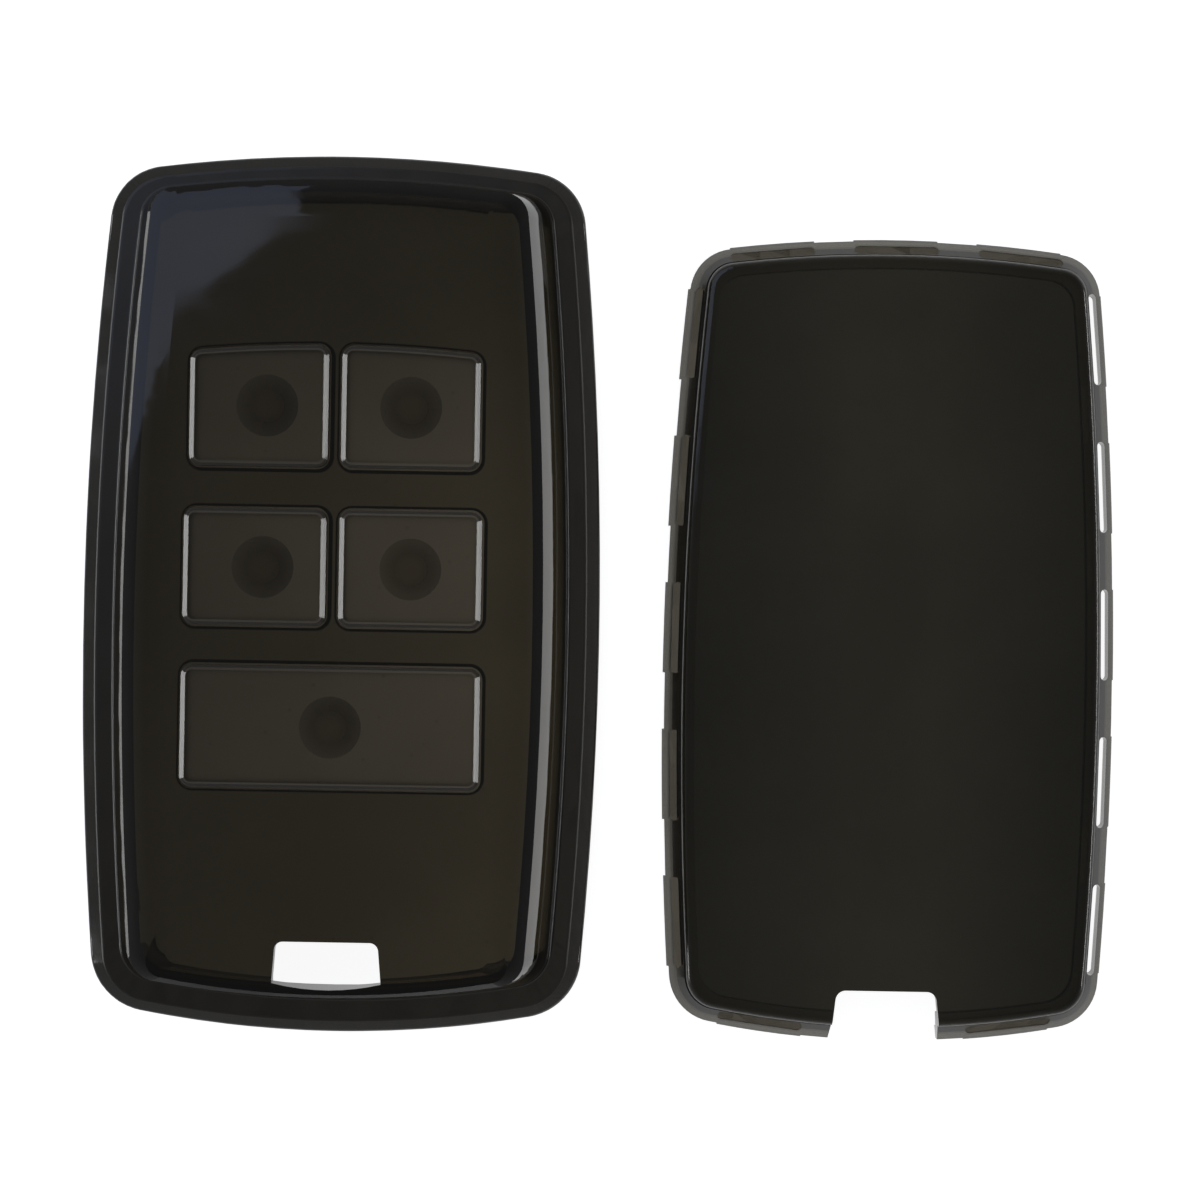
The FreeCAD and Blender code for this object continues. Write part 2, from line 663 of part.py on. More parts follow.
def crown(body, name, wall):
    """Trims a body to the panel's crown: an arc across, swung about a far axis for the gentler arc along."""
    half = f"(skirt_width / 2 + {CUT_MARGIN})"
    radius = f"crown_across - ({wall})"
    centre = "crown_along - crown_across"
    edge_level = f"{centre} + sqrt(({radius})^2 - {half}^2)"
    over = f"crown_along + 2 * {CUT_MARGIN}"
    sketch = corner_sketch(new_sketch(body, f"{name}Sketch", "XZ_Plane", y="back_height - crown_along"), [
        (f"-{half}", edge_level),
        (f"-{half}", over),
        (half, over),
        (half, edge_level),
    ], bow=radius, bow_centre=centre)
    feature = body.newObject("PartDesign::Groove", name)
    feature.Profile = sketch
    feature.ReferenceAxis = (sketch, ["H_Axis"])
    feature.Midplane = True
    bind(feature, Angle=f"2 * asin((skirt_length / 2 + {CUT_MARGIN}) / crown_along)")
    return feature


def back_form():
    """Outer form of the back half: skirt, slope and crowned panel, open at the ring notch."""
    body = doc.addObject("PartDesign::Body", "BackForm")
    pad(body, "Skirt", barrel_sketch(body, "SkirtOutline", skirt_outline("0"), "0"), "skirt_height")
    slope_top = skirt_outline("slope_width",
                              "panel_top_corner + panel_step", "panel_ring_corner + panel_step")
    loft(body, "Slope", [barrel_sketch(body, "SlopeFoot", skirt_outline("0"), "skirt_height"),
                         barrel_sketch(body, "SlopeTop", slope_top, SLOPE_TOP)], ruled=True)
    panel = skirt_outline(PANEL_INSET, "panel_top_corner", "panel_ring_corner")
    pad(body, "Panel", barrel_sketch(body, "PanelOutline", panel, "0"), f"back_height + {CUT_MARGIN}")
    tip = crown(body, "PanelCrown", "0")
    wall_foot = value(SLOPE_TOP) + PLACE_TOLERANCE
    fillet(body, "PanelRound", tip, "panel_round", lambda edge: edge.BoundBox.ZMin > wall_foot)
    inner, slope = "notch_width / 2", "notch_flare / notch_depth"
    mouth = f"({inner} + {slope} * (notch_depth + {CUT_MARGIN}))"
    notch_top, notch_mouth = "-(skirt_length / 2 - notch_depth)", f"-(skirt_length / 2 + {CUT_MARGIN})"
    notch = corner_sketch(new_sketch(body, "NotchOutline", z=f"back_height + {CUT_MARGIN}"), [
        (mouth, notch_mouth),
        (inner, notch_top),
        (f"-({inner})", notch_top),
        (f"-{mouth}", notch_mouth),
    ])
    tip = cut_through(body, "RingNotch", notch)
    ends = [(side * value(inner), value(notch_top)) for side in (1, -1)]
    fillet(body, "NotchCorners", tip, "notch_corner", lambda edge: upright_at(edge, ends))
    return body


def spans(pitch, length, count, shift="0"):
    """Where each of a row of beads starts and ends, and whether it is the one in the middle."""
    rows = []
    for step in range(count):
        place = step - (count - 1) / 2
        middle = f"{shift} + {pitch} * {place}"
        rows.append((f"{middle} - {length} / 2", f"{middle} + {length} / 2", place == 0))
    return rows


def side_spans():
    return spans("side_bead_pitch", "side_bead_length", SIDE_BEAD_COUNT, "side_bead_shift")


def end_spans():
    """Beads across an end; at the ring end the notch takes the place of the one in the middle."""
    return spans("end_bead_pitch", "end_bead_length", END_BEAD_COUNT)


def side_slots(sign):
    """End centres of the slots along one side."""
    radius = "(skirt_side_radius - spring_inset)"
    hub = "skirt_width / 2 - skirt_side_radius"
    slots = []
    for start, end, _ in side_spans():
        along = (f"({start} + spring_width / 2)", f"({end} - spring_width / 2)")
        slots.append([(f"{sign}({hub} + sqrt({radius}^2 - ({y} + skirt_waist_drop)^2))", y) for y in along])
    return slots


def end_slots():
    """End centres of the slots along the top end, and along the ring end beside the notch."""
    top_radius, ring_radius = (f"(skirt_{place}_radius - spring_inset)" for place in ("top", "ring"))
    slots = []
    for start, end, at_notch in end_spans():
        across = (f"({start} + spring_width / 2)", f"({end} - spring_width / 2)")
        slots.append([(x, f"skirt_length / 2 - skirt_top_radius + sqrt({top_radius}^2 - {x}^2)")
                      for x in across])
        if not at_notch:
            slots.append([(x, f"skirt_ring_radius - skirt_length / 2 - sqrt({ring_radius}^2 - {x}^2)")
                          for x in across])
    return slots


def slot_tools():
    """Columns that cut the slots: through on the right side, down to a floor elsewhere."""
    body = doc.addObject("PartDesign::Body", "SlotTools")
    body.AllowCompound = True
    for name, slots, level in (("Open", side_slots(""), f"-{CUT_MARGIN}"),
                               ("Floored", side_slots("-") + end_slots(), "spring_floor")):
        outlines = slot_outlines(new_sketch(body, f"{name}SlotOutlines", z=level), slots, "spring_width")
        pad(body, f"{name}Slots", outlines, f"back_height + {CUT_MARGIN} - ({level})")
    return body


def back_hollow():
    """Inside of the back half, a wall's thickness from its skirt, slope and panel."""
    body = doc.addObject("PartDesign::Body", "BackHollow")
    below = f"-{CUT_MARGIN}"
    skirt_room = skirt_outline("skirt_wall",
                               "skirt_top_corner - skirt_wall", "skirt_ring_corner - skirt_wall")
    panel_room = skirt_outline(f"{PANEL_INSET} + panel_wall", "panel_top_corner", "panel_ring_corner")
    room_spring = "skirt_height - slope_drop"
    pad(body, "SkirtRoom", barrel_sketch(body, "SkirtRoomOutline", skirt_room, below),
        f"{room_spring} + {CUT_MARGIN}")
    loft(body, "SlopeRoom", [barrel_sketch(body, "SlopeRoomFoot", skirt_room, room_spring),
                             barrel_sketch(body, "SlopeRoomTop", panel_room, f"{SLOPE_TOP} - panel_wall")],
         ruled=True)
    pad(body, "PanelRoom", barrel_sketch(body, "PanelRoomOutline", panel_room, below),
        f"back_height + 2 * {CUT_MARGIN}")
    crown(body, "RoomCrown", "panel_wall")
    return body


def bead_windows():
    """Boxes that mark where the snap beads run: across both sides, and at the ends clear of the notch."""
    across = f"(skirt_width + 2 * {CUT_MARGIN})"
    along = f"(skirt_length + 2 * {CUT_MARGIN})"
    windows = [(f"-{across} / 2", start, across, "side_bead_length") for start, _, _ in side_spans()]
    for start, _, at_notch in end_spans():
        low, length = ("0", f"{along} / 2") if at_notch else (f"-{along} / 2", along)
        windows.append((start, low, "end_bead_length", length))
    boxes = []
    for x, y, length, width in windows:
        box = doc.addObject("Part::Box", f"BeadWindow{len(boxes)}")
        bind(box, Length=length, Width=width, Height="skirt_height",
             Placement__Base__x=x, Placement__Base__y=y)
        boxes.append(box)
    return boxes


def snap_beads():
    """Snap beads: a ridge that follows the skirt's outline, kept only in the windows."""
    body = doc.addObject("PartDesign::Body", "BeadRidge")
    loft(body, "Ridge", [
        barrel_sketch(body, "RidgeLow", skirt_outline("0"), "bead_level - bead_height / 2"),
        barrel_sketch(body, "RidgeCrest", skirt_outline("-(bead_rise)", "skirt_top_corner + bead_rise",
                                                        "skirt_ring_corner + bead_rise"), "bead_level"),
        barrel_sketch(body, "RidgeHigh", skirt_outline("0"), "bead_level + bead_height / 2"),
    ], ruled=True)
    windows = doc.addObject("Part::MultiFuse", "BeadWindows")
    windows.Shapes = bead_windows()
    beads = doc.addObject("Part::Common", "SnapBeads")
    beads.Base = body
    beads.Tool = windows
    return beads


# Assembly, the two halves with their ring ends level
def lay(piece, label, x, y):
    piece.Label = label
    bind(piece, Placement__Base__x=x, Placement__Base__y=y)
    return piece


def hollowed(name, form, hollow):
    shell = doc.addObject("Part::Cut", name)
    shell.Base = form
    shell.Tool = hollow
    return shell


def main():
    front_x = "-(halves_gap + skirt_width + 2 * bead_rise) / 2"
    back_x = "(front_width + halves_gap) / 2"
    back_y = "-(front_length - skirt_length) / 2"
    beaded = doc.addObject("Part::Fuse", "BeadedForm")
    beaded.Base = back_form()
    beaded.Tool = snap_beads()
    slotted = hollowed("SlottedForm", beaded, slot_tools())
    nodes = [lay(hollowed("FrontShell", front_form(), front_hollow()), "front_shell", front_x, "0"),
             lay(hollowed("BackShell", slotted, back_hollow()), "back_shell", back_x, back_y)]
    nodes += [lay(button(name, place), name, front_x, "0") for name, place in BUTTONS.items()]
    doc.recompute()

    failed = [thing.Name for thing in doc.Objects if {"Invalid", "Error"} & set(thing.State)]
    failed += [node.Label for node in nodes if node.Shape.isNull() or not node.Shape.isValid()]
    failed += [node.Label for node in nodes if len(node.Shape.Solids) != 1]
    if failed:
        raise RuntimeError(f"not built: {failed}")

    os.makedirs("parts", exist_ok=True)
    for node in nodes:
        node.Shape.exportStep(f"parts/{node.Label}.step")
        box = node.Shape.optimalBoundingBox(False)
        print(f"{node.Label}: {box.XLength:.2f} x {box.YLength:.2f} x {box.ZLength:.2f} mm, "
              f"{node.Shape.Volume:.1f} mm3")


main()
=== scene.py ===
import math

import bpy
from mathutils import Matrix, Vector

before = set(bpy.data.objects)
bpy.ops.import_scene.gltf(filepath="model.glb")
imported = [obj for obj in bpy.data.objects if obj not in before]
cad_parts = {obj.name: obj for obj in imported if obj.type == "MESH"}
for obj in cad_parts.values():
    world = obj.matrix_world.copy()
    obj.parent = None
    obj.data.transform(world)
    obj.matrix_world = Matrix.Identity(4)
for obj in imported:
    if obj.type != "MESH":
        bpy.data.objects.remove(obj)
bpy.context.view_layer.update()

# The looks of a smoked soft cover for a key fob, both halves on a white table, seen from straight above.
# Metres throughout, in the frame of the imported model.

MM = 0.001

# Camera: over the middle of the pair, turned a little so that the halves lean as they lay
CAMERA_HEIGHT = 280 * MM
CAMERA_SHIFT = -0.15 * MM
CAMERA_TURN = math.radians(1.0)
NEAREST_SEEN = 10 * MM
SENSOR = 36.0
PICTURE_WIDTH = 113.16 * MM

FRONT = "front_shell"
BACK = "back_shell"
BUTTONS = (
    "upper_left_button",
    "upper_right_button",
    "middle_left_button",
    "middle_right_button",
    "lower_button",
)

# Refraction of the soft plastic, and how much of the light that isn't mirrored goes through it
PLASTIC_IOR = 1.5
CLEARNESS = 0.95
# What the plastic's body lets pass by colour; each finish says how dense it is
BODY_COLOUR = (0.5, 0.44, 0.3)
# Share of the tint that is left in a speck, and the strength and depth of the skin's relief
SPECK_SHARE = (0.35, 0.33, 0.3)
RELIEF_STRENGTH = 0.25
RELIEF_DEPTH = 0.05 * MM

# Front half: painted shade on the thick rim down by the table, and the heights between which it gives way to
# the wall's tint
RIM_PAINTED_SHADE = (0.0013, 0.0013, 0.0014)
RIM_PAINTED_SHADE_TOP = 3.2 * MM
WALL_TINT_START = 5 * MM
# Front half: roughness and height of the level ledge behind the rim's crest, and how far from that it reaches
LEDGE_ROUGHNESS = 0.28
LEDGE_LEVEL = 2.6 * MM
LEDGE_REACH = 0.12 * MM
# Face and pads: share of the tint at the top end and on both sides, and the places between which it changes;
# painted shade darkens the top end and the left side, and painted light lightens the right side
TOP_SHADE_SHARE = 0.68
TOP_SHADE_SHARE_END = 28 * MM
FULL_SHARE_START = 10 * MM
LEFT_SHADE_SHARE = 0.94
RIGHT_LIGHT_SHARE = 1.24
LEFT_SHADE_SHARE_END = -36 * MM
RIGHT_LIGHT_SHARE_START = -12 * MM
# Button pads: their inner side is matt, as far up as the outer bevels
INSIDE_ROUGHNESS = 0.65
INSIDE_TOP = 11.9 * MM
BEVEL_START = 12.1 * MM
# Back half: painted shade on the skirt and the slots' thin floors down by the table, and how painted shade
# darkens the panel towards both sides
SKIRT_PAINTED_SHADE = (0.009, 0.0078, 0.0056)
SKIRT_TOP = 1.2 * MM
BAND_START = 1.4 * MM
PANEL_MIDDLE = 27.2 * MM
EVEN_HALF = 4 * MM
DARK_HALF = 19 * MM
PAINTED_SIDE_SHADE = (0.5, 0.51, 0.54)

# The table: half its width, its own colour, and how much it is lifted where it is looked at and seen through
TABLE_HALF = 3
TABLE_COLOUR = (0.45, 0.45, 0.45)
LOOKED_AT_LIFT = 0.93
SEEN_THROUGH_LIFT = 0.2
# Lift of the table where it is mirrored, which rises from beside the front half's left to between the halves:
# painted shade on the table where the halves mirror it
SHADY_LIFT = 0.385
BRIGHT_LIFT = 0.7
SHADY_END = -50 * MM
BRIGHT_START = -3 * MM

# Lamps low at both sides: where each hangs, its width and height, and how bright it looks
SIDE_LAMPS = {
    "left_softbox": {"place": (-0.7, 0, 0.13), "width": 0.5, "height": 0.2, "radiance": 5.5},
    "right_softbox": {"place": (0.75, 0, 0.273), "width": 0.5, "height": 0.168, "radiance": 5.5},
}
# Window: a sheet of cool light overhead, whose lower edge shows aslant on the face and down the shoulder
WINDOW_HEIGHT = 1.0
WINDOW_COLOUR = (0.66, 0.75, 1)
WINDOW_STRENGTH = 0.95
WINDOW_CORNERS = [
    (-0.22, 1.5), (-0.2, 1.1), (-0.15, 0.5), (-0.1276, 0.162), (-0.144, 0.148), (-0.179, 0.1216),
    (-0.1885, 0.115), (-0.35, 0.121), (-0.85, 0.143), (-1.19, 0.153), (-1.84, 0.158), (-2.6, 0.2),
    (-2.6, 1.5),
]
# Room: colour of its air, its light at the horizon and overhead, and the rises between which this changes
AIR_COLOUR = (0.97, 0.98, 1)
HORIZON_LIGHT = 0.45
OVERHEAD_LIGHT = 0.13
HORIZON_END = 0.1
OVERHEAD_START = 0.85

# Sockets of a Mix node that mixes colours: its other kinds have sockets of the same names
MIX_FACTOR = 0
MIX_FIRST = 6
MIX_SECOND = 7
MIX_RESULT = 2


# Nodes
def add_node(tree, kind, inputs=(), **properties):
    """New node with values on some of its inputs and some of its properties set."""
    node = tree.nodes.new(kind)
    for name, setting in properties.items():
        setattr(node, name, setting)
    for name, number in dict(inputs).items():
        node.inputs[name].default_value = number
    return node


def link(tree, source, target):
    tree.links.new(source, target)


def new_group(name, inputs, outputs):
    """Empty node group with named sockets, and its two end nodes."""
    tree = bpy.data.node_groups.new(name, "ShaderNodeTree")
    for socket, kind in inputs:
        tree.interface.new_socket(socket, in_out="INPUT", socket_type=kind)
    for socket, kind in outputs:
        tree.interface.new_socket(socket, in_out="OUTPUT", socket_type=kind)
    return tree, tree.nodes.new("NodeGroupInput"), tree.nodes.new("NodeGroupOutput")


def use_group(tree, group):
    node = tree.nodes.new("ShaderNodeGroup")
    node.node_tree = group
    return node


def new_material(name):
    """Material with only its output node left, and that node."""
    material = bpy.data.materials.new(name)
    material.use_nodes = True
    tree = material.node_tree
    tree.nodes.clear()
    return material, tree, tree.nodes.new("ShaderNodeOutputMaterial")


def ramp(tree, value, start, end, low, high):
    """Number that goes from low to high while a value goes from start to end."""
    node = add_node(tree, "ShaderNodeMapRange",
                    {"From Min": start, "From Max": end, "To Min": low, "To Max": high})
    link(tree, value, node.inputs["Value"])
    return node.outputs["Result"]


def place_parts(tree, place):
    node = tree.nodes.new("ShaderNodeSeparateXYZ")
    link(tree, place, node.inputs[0])
    return node.outputs


# Effects that several finishes share
def smoke_dye_group():
    """Dye that is a little uneven: broad clouds between two tints, with a few fine specks."""
    tree, given, result = new_group(
        "smoke_dye",
        [("Place", "NodeSocketVector"), ("Thin", "NodeSocketColor"), ("Deep", "NodeSocketColor"),
         ("Specks", "NodeSocketFloat")],
        [("Colour", "NodeSocketColor")])
    clouds = add_node(tree, "ShaderNodeTexNoise", {"Scale": 60, "Detail": 4, "Roughness": 0.55})
    spread = add_node(tree, "ShaderNodeMapRange", {"From Min": 0.35, "From Max": 0.65})
    tint = add_node(tree, "ShaderNodeMix", data_type="RGBA")
    grains = add_node(tree, "ShaderNodeTexVoronoi", {"Scale": 420}, feature="F1")
    near = add_node(tree, "ShaderNodeMapRange",
                    {"From Min": 0.05, "From Max": 0.09, "To Min": 1, "To Max": 0})
    strength = add_node(tree, "ShaderNodeMath", operation="MULTIPLY")
    speckled = add_node(tree, "ShaderNodeMix", data_type="RGBA", blend_type="MULTIPLY")
    speckled.inputs[MIX_SECOND].default_value = (*SPECK_SHARE, 1)
    link(tree, given.outputs["Place"], clouds.inputs["Vector"])
    link(tree, given.outputs["Place"], grains.inputs["Vector"])
    link(tree, clouds.outputs["Fac"], spread.inputs["Value"])
    link(tree, spread.outputs["Result"], tint.inputs[MIX_FACTOR])
    link(tree, given.outputs["Thin"], tint.inputs[MIX_FIRST])
    link(tree, given.outputs["Deep"], tint.inputs[MIX_SECOND])
    link(tree, grains.outputs["Distance"], near.inputs["Value"])
    link(tree, near.outputs["Result"], strength.inputs[0])
    link(tree, given.outputs["Specks"], strength.inputs[1])
    link(tree, strength.outputs[0], speckled.inputs[MIX_FACTOR])
    link(tree, tint.outputs[MIX_RESULT], speckled.inputs[MIX_FIRST])
    link(tree, speckled.outputs[MIX_RESULT], result.inputs["Colour"])
    return tree


def moulded_skin_group():
    """Skin from a polished mould: slow waves, a fine grain, and smudges from handling that dull the gloss."""
    tree, given, result = new_group(
        "moulded_skin",
        [("Place", "NodeSocketVector"), ("Gloss", "NodeSocketFloat"), ("Smudges", "NodeSocketFloat"),
         ("Grain", "NodeSocketFloat")],
        [("Roughness", "NodeSocketFloat"), ("Height", "NodeSocketFloat")])
    waves = add_node(tree, "ShaderNodeTexNoise", {"Scale": 110, "Detail": 2, "Roughness": 0.4})
    grain = add_node(tree, "ShaderNodeTexNoise", {"Scale": 3200, "Detail": 2, "Roughness": 0.6})
    wiped = add_node(tree, "ShaderNodeTexNoise",
                     {"Scale": 75, "Detail": 5, "Roughness": 0.6, "Distortion": 1.2})
    marks = add_node(tree, "ShaderNodeMapRange", {"From Min": 0.48, "From Max": 0.72})
    dulled = add_node(tree, "ShaderNodeMath", operation="MULTIPLY")
    rough = add_node(tree, "ShaderNodeMath", operation="ADD")
    fine = add_node(tree, "ShaderNodeMath", operation="MULTIPLY")
    height = add_node(tree, "ShaderNodeMath", operation="ADD")
    for texture in (waves, grain, wiped):
        link(tree, given.outputs["Place"], texture.inputs["Vector"])
    link(tree, wiped.outputs["Fac"], marks.inputs["Value"])
    link(tree, marks.outputs["Result"], dulled.inputs[0])
    link(tree, given.outputs["Smudges"], dulled.inputs[1])
    link(tree, given.outputs["Gloss"], rough.inputs[0])
    link(tree, dulled.outputs[0], rough.inputs[1])
    link(tree, grain.outputs["Fac"], fine.inputs[0])
    link(tree, given.outputs["Grain"], fine.inputs[1])
    link(tree, waves.outputs["Fac"], height.inputs[0])
    link(tree, fine.outputs[0], height.inputs[1])
    link(tree, rough.outputs[0], result.inputs["Roughness"])
    link(tree, height.outputs[0], result.inputs["Height"])
    return tree


def painted_face_light_group():
    """Tint with painted shade at the top end of the front half and painted light on its right side."""
    tree, given, result = new_group(
        "painted_face_light", [("Place", "NodeSocketVector"), ("Colour", "NodeSocketColor")],
        [("Colour", "NodeSocketColor")])
    parts = place_parts(tree, given.outputs["Place"])
    share = add_node(tree, "ShaderNodeMath", operation="MULTIPLY")
    tint = add_node(tree, "ShaderNodeMix", {MIX_FACTOR: 1}, data_type="RGBA", blend_type="MULTIPLY")
    across = ramp(tree, parts["X"], LEFT_SHADE_SHARE_END, RIGHT_LIGHT_SHARE_START, LEFT_SHADE_SHARE, RIGHT_LIGHT_SHARE)
    along = ramp(tree, parts["Y"], TOP_SHADE_SHARE_END, FULL_SHARE_START, TOP_SHADE_SHARE, 1)
    link(tree, across, share.inputs[0])
    link(tree, along, share.inputs[1])
    link(tree, given.outputs["Colour"], tint.inputs[MIX_FIRST])
    link(tree, share.outputs[0], tint.inputs[MIX_SECOND])
    link(tree, tint.outputs[MIX_RESULT], result.inputs["Colour"])
    return tree


# Finishes
# Face and pads: tint with painted shade at the top end and painted light on the right side
def face_tint_with_painted_light(tree, place, colour):
    share = use_group(tree, painted_face_light)
    link(tree, place, share.inputs["Place"])
    link(tree, colour, share.inputs["Colour"])
    return share.outputs["Colour"]


def front_tint_with_painted_shade(tree, place, colour):
    """Tint of the face that gives way to painted shade down at the thick rim."""
    tint = add_node(tree, "ShaderNodeMix", data_type="RGBA")
    # Painted shade on the rim, where it meets the table
    tint.inputs[MIX_FIRST].default_value = (*RIM_PAINTED_SHADE, 1)
    above_rim = ramp(tree, place_parts(tree, place)["Z"], RIM_PAINTED_SHADE_TOP, WALL_TINT_START, 0, 1)
    link(tree, above_rim, tint.inputs[MIX_FACTOR])
    link(tree, face_tint_with_painted_light(tree, place, colour), tint.inputs[MIX_SECOND])
    return tint.outputs[MIX_RESULT]


def satin_ledge(tree, place, roughness):
    """Roughness that is higher on the ledge behind the rim's crest."""
    ledge = add_node(tree, "ShaderNodeMath", {1: LEDGE_LEVEL, 2: LEDGE_REACH}, operation="COMPARE")
    rough = add_node(tree, "ShaderNodeMath", {1: LEDGE_ROUGHNESS}, operation="MULTIPLY")
    larger = add_node(tree, "ShaderNodeMath", operation="MAXIMUM")
    link(tree, place_parts(tree, place)["Z"], ledge.inputs[0])
    link(tree, ledge.outputs[0], rough.inputs[0])
    link(tree, rough.outputs[0], larger.inputs[0])
    link(tree, roughness, larger.inputs[1])
    return larger.outputs[0]


def panel_tint_with_painted_shade(tree, place, colour):
    """Tint with painted shade towards both sides of the panel; skirt and slot floors have painted shade of
    their own.
    """
    parts = place_parts(tree, place)
    aside = add_node(tree, "ShaderNodeMath", {1: PANEL_MIDDLE}, operation="SUBTRACT")
    reach = add_node(tree, "ShaderNodeMath", operation="ABSOLUTE")
    # Painted shade towards both sides of the panel, and along the skirt's foot
    shaded = add_node(tree, "ShaderNodeMix", data_type="RGBA", blend_type="MULTIPLY")
    shaded.inputs[MIX_SECOND].default_value = (*PAINTED_SIDE_SHADE, 1)
    tint = add_node(tree, "ShaderNodeMix", data_type="RGBA")
    tint.inputs[MIX_FIRST].default_value = (*SKIRT_PAINTED_SHADE, 1)
    link(tree, parts["X"], aside.inputs[0])
    link(tree, aside.outputs[0], reach.inputs[0])
    link(tree, ramp(tree, reach.outputs[0], EVEN_HALF, DARK_HALF, 0, 1), shaded.inputs[MIX_FACTOR])
    link(tree, colour, shaded.inputs[MIX_FIRST])
    link(tree, ramp(tree, parts["Z"], SKIRT_TOP, BAND_START, 0, 1), tint.inputs[MIX_FACTOR])
    link(tree, shaded.outputs[MIX_RESULT], tint.inputs[MIX_SECOND])
    return tint.outputs[MIX_RESULT]


def matt_inside(tree, place, roughness):
    """Roughness that is high on the inner side of a pad and stays as it is on its face and bevels."""
    larger = add_node(tree, "ShaderNodeMath", operation="MAXIMUM")
    inside = ramp(tree, place_parts(tree, place)["Z"], INSIDE_TOP, BEVEL_START, INSIDE_ROUGHNESS, 0)
    link(tree, roughness, larger.inputs[0])
    link(tree, inside, larger.inputs[1])
    return larger.outputs[0]


def smoked_finish(name, thin, deep, density, gloss, smudges, grain, specks, tone=None, dulling=None):
    """Smoke-tinted clear soft plastic: what shows through darkens with the thickness that it passes."""
    material, tree, output = new_material(name)
    place = tree.nodes.new("ShaderNodeTexCoord")
    dye = use_group(tree, smoke_dye)
    dye.inputs["Thin"].default_value = (*thin, 1)
    dye.inputs["Deep"].default_value = (*deep, 1)
    dye.inputs["Specks"].default_value = specks
    marks = use_group(tree, moulded_skin)
    marks.inputs["Gloss"].default_value = gloss
    marks.inputs["Smudges"].default_value = smudges
    marks.inputs["Grain"].default_value = grain
    relief = add_node(tree, "ShaderNodeBump", {"Strength": RELIEF_STRENGTH, "Distance": RELIEF_DEPTH})
    skin = add_node(tree, "ShaderNodeBsdfPrincipled", {"IOR": PLASTIC_IOR, "Transmission Weight": CLEARNESS})
    body = add_node(tree, "ShaderNodeVolumeAbsorption", {"Color": (*BODY_COLOUR, 1), "Density": density})
    here = place.outputs["Object"]
    link(tree, here, dye.inputs["Place"])
    link(tree, here, marks.inputs["Place"])
    colour = dye.outputs["Colour"]
    roughness = marks.outputs["Roughness"]
    link(tree, tone(tree, here, colour) if tone else colour, skin.inputs["Base Color"])
    link(tree, dulling(tree, here, roughness) if dulling else roughness, skin.inputs["Roughness"])
    link(tree, marks.outputs["Height"], relief.inputs["Height"])
    link(tree, relief.outputs["Normal"], skin.inputs["Normal"])
    link(tree, skin.outputs["BSDF"], output.inputs["Surface"])
    link(tree, body.outputs["Volume"], output.inputs["Volume"])
    return material


def dress(node, material):
    """Gives a CAD node its finish."""
    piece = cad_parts[node]
    piece.data.materials.clear()
    piece.data.materials.append(material)


# Stage
def table_finish():
    """White table: it takes shadows, and is lifted where it is looked at, mirrored or seen through; where it
    is mirrored, its left side has painted shade.
    """
    material, tree, output = new_material("white_table")
    matt = add_node(tree, "ShaderNodeBsdfDiffuse", {"Color": (*TABLE_COLOUR, 1)})
    glow = add_node(tree, "ShaderNodeEmission", {"Color": (1, 1, 1, 1)})
    path = tree.nodes.new("ShaderNodeLightPath")
    place = tree.nodes.new("ShaderNodeTexCoord")
    across = place_parts(tree, place.outputs["Object"])["X"]
    looked_at = add_node(tree, "ShaderNodeMath", {1: LOOKED_AT_LIFT}, operation="MULTIPLY")
    seen_through = add_node(tree, "ShaderNodeMath", {1: SEEN_THROUGH_LIFT}, operation="MULTIPLY_ADD")
    mirrored = add_node(tree, "ShaderNodeMath", operation="MULTIPLY_ADD")
    both = tree.nodes.new("ShaderNodeAddShader")
    link(tree, path.outputs["Is Camera Ray"], looked_at.inputs[0])
    link(tree, path.outputs["Is Transmission Ray"], seen_through.inputs[0])
    link(tree, looked_at.outputs[0], seen_through.inputs[2])
    link(tree, path.outputs["Is Glossy Ray"], mirrored.inputs[0])
    link(tree, ramp(tree, across, SHADY_END, BRIGHT_START, SHADY_LIFT, BRIGHT_LIFT), mirrored.inputs[1])
    link(tree, seen_through.outputs[0], mirrored.inputs[2])
    link(tree, mirrored.outputs[0], glow.inputs["Strength"])
    link(tree, matt.outputs[0], both.inputs[0])
    link(tree, glow.outputs[0], both.inputs[1])
    link(tree, both.outputs[0], output.inputs["Surface"])
    return material


def add_sheet(name, corners, height, material):
    """Flat sheet of the stage through some corners."""
    mesh = bpy.data.meshes.new(name)
    mesh.from_pydata([(x, y, height) for x, y in corners], [], [tuple(range(len(corners)))])
    mesh.materials.append(material)
    sheet = bpy.data.objects.new(name, mesh)
    bpy.context.scene.collection.objects.link(sheet)
    return sheet


def window_finish():
    material, tree, output = new_material("window_light")
    glow = add_node(tree, "ShaderNodeEmission", {"Color": (*WINDOW_COLOUR, 1), "Strength": WINDOW_STRENGTH})
    link(tree, glow.outputs[0], output.inputs["Surface"])
    return material


def add_softbox(name, place, width, height, radiance):
    """Area lamp that shines on the pair; radiance is how bright it looks, and sets its power."""
    lamp = bpy.data.lights.new(name, "AREA")
    lamp.shape = "RECTANGLE"
    lamp.size = width
    lamp.size_y = height
    lamp.energy = radiance * math.pi * width * height
    holder = bpy.data.objects.new(name, lamp)
    holder.location = place
    holder.rotation_euler = (-Vector(place)).to_track_quat("-Z", "Y").to_euler()
    holder.visible_camera = False
    bpy.context.scene.collection.objects.link(holder)


def add_lights():
    """Low lamps at both sides, whose light bevels and walls mirror upward, and a window overhead."""
    for name, lamp in SIDE_LAMPS.items():
        add_softbox(name, **lamp)
    window = add_sheet("window", WINDOW_CORNERS, WINDOW_HEIGHT, window_finish())
    window.visible_camera = False


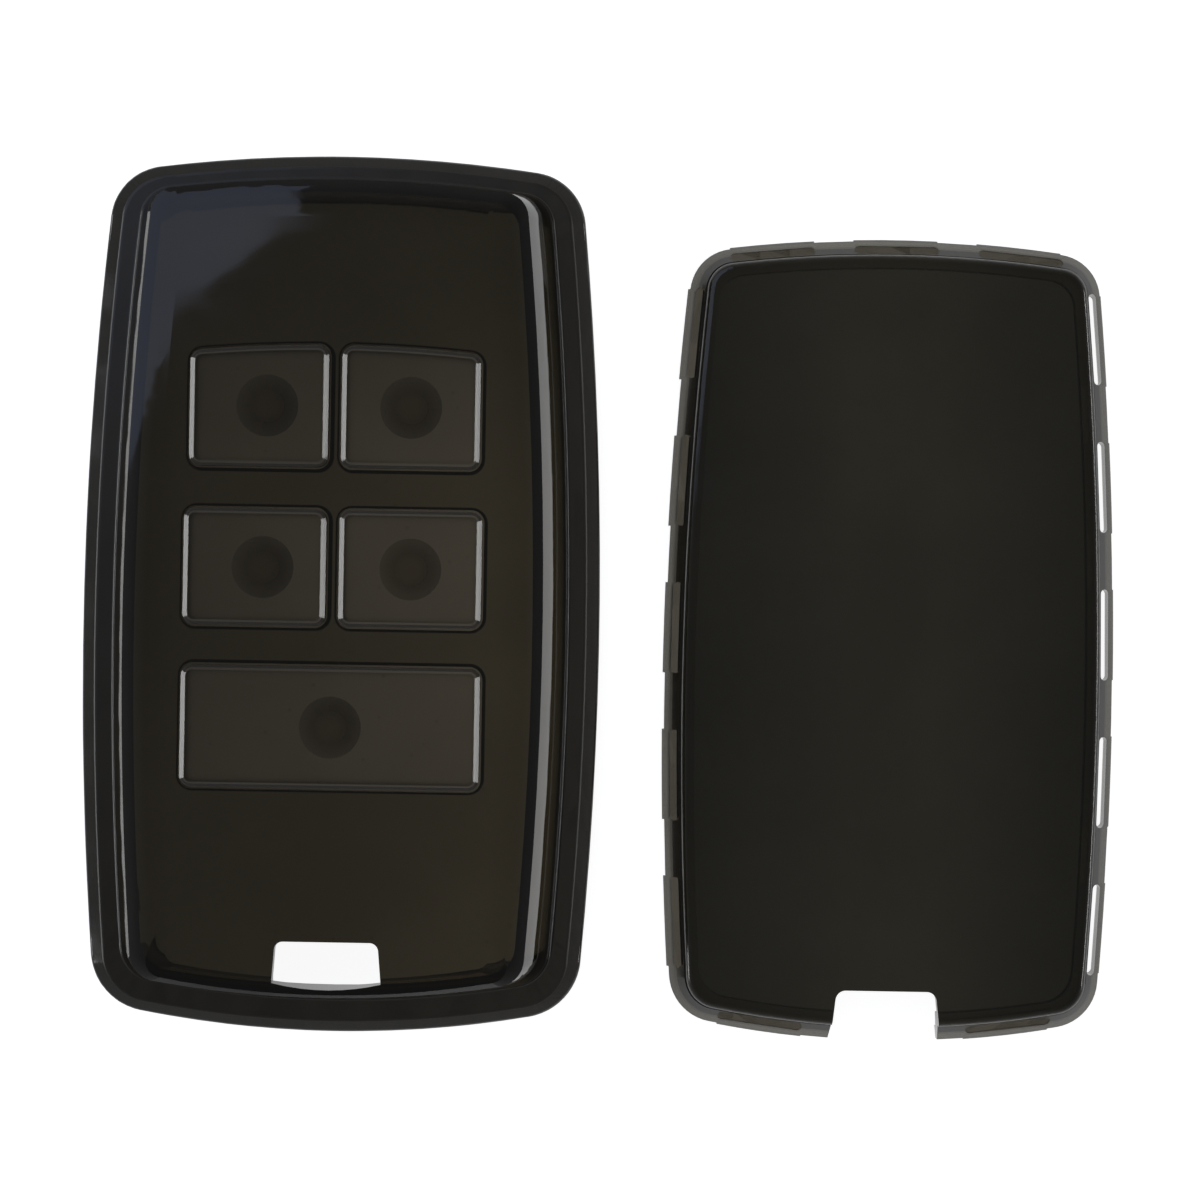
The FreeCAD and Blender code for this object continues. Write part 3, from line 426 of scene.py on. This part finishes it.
def add_world():
    """Room that is pale near the horizon and dark overhead."""
    world = bpy.data.worlds.new("studio")
    bpy.context.scene.world = world
    world.use_nodes = True
    tree = world.node_tree
    air = tree.nodes["Background"]
    air.inputs["Color"].default_value = (*AIR_COLOUR, 1)
    place = tree.nodes.new("ShaderNodeTexCoord")
    rise = place_parts(tree, place.outputs["Generated"])["Z"]
    fade = ramp(tree, rise, HORIZON_END, OVERHEAD_START, HORIZON_LIGHT, OVERHEAD_LIGHT)
    link(tree, fade, air.inputs["Strength"])


def add_camera():
    lens = bpy.data.cameras.new("camera")
    lens.sensor_width = SENSOR
    lens.lens = SENSOR * CAMERA_HEIGHT / PICTURE_WIDTH
    lens.clip_start = NEAREST_SEEN
    camera = bpy.data.objects.new("camera", lens)
    camera.location = (0, CAMERA_SHIFT, CAMERA_HEIGHT)
    camera.rotation_euler = (0, 0, CAMERA_TURN)
    bpy.context.scene.collection.objects.link(camera)
    bpy.context.scene.camera = camera


# The scene
smoke_dye = smoke_dye_group()
moulded_skin = moulded_skin_group()
painted_face_light = painted_face_light_group()
glossy_front = smoked_finish(
    "smoked_front", thin=(0.043, 0.038, 0.0265), deep=(0.035, 0.031, 0.021), density=750,
    gloss=0.03, smudges=0.06, grain=0.02, specks=0.5, tone=front_tint_with_painted_shade, dulling=satin_ledge)
satin_back = smoked_finish(
    "smoked_back", thin=(0.0275, 0.0262, 0.0195), deep=(0.022, 0.021, 0.0155), density=400,
    gloss=0.12, smudges=0.12, grain=0.05, specks=0.5, tone=panel_tint_with_painted_shade)
pad_finish = smoked_finish(
    "smoked_pads", thin=(0.075, 0.067, 0.053), deep=(0.064, 0.057, 0.045), density=750,
    gloss=0.04, smudges=0.08, grain=0.02, specks=0.5, tone=face_tint_with_painted_light, dulling=matt_inside)
dress(FRONT, glossy_front)
dress(BACK, satin_back)
for button in BUTTONS:
    dress(button, pad_finish)

table_corners = [(-TABLE_HALF, -TABLE_HALF), (TABLE_HALF, -TABLE_HALF),
                 (TABLE_HALF, TABLE_HALF), (-TABLE_HALF, TABLE_HALF)]
add_sheet("table", table_corners, 0, table_finish())
add_lights()
add_world()
add_camera()
bpy.context.scene.view_settings.view_transform = "Standard"
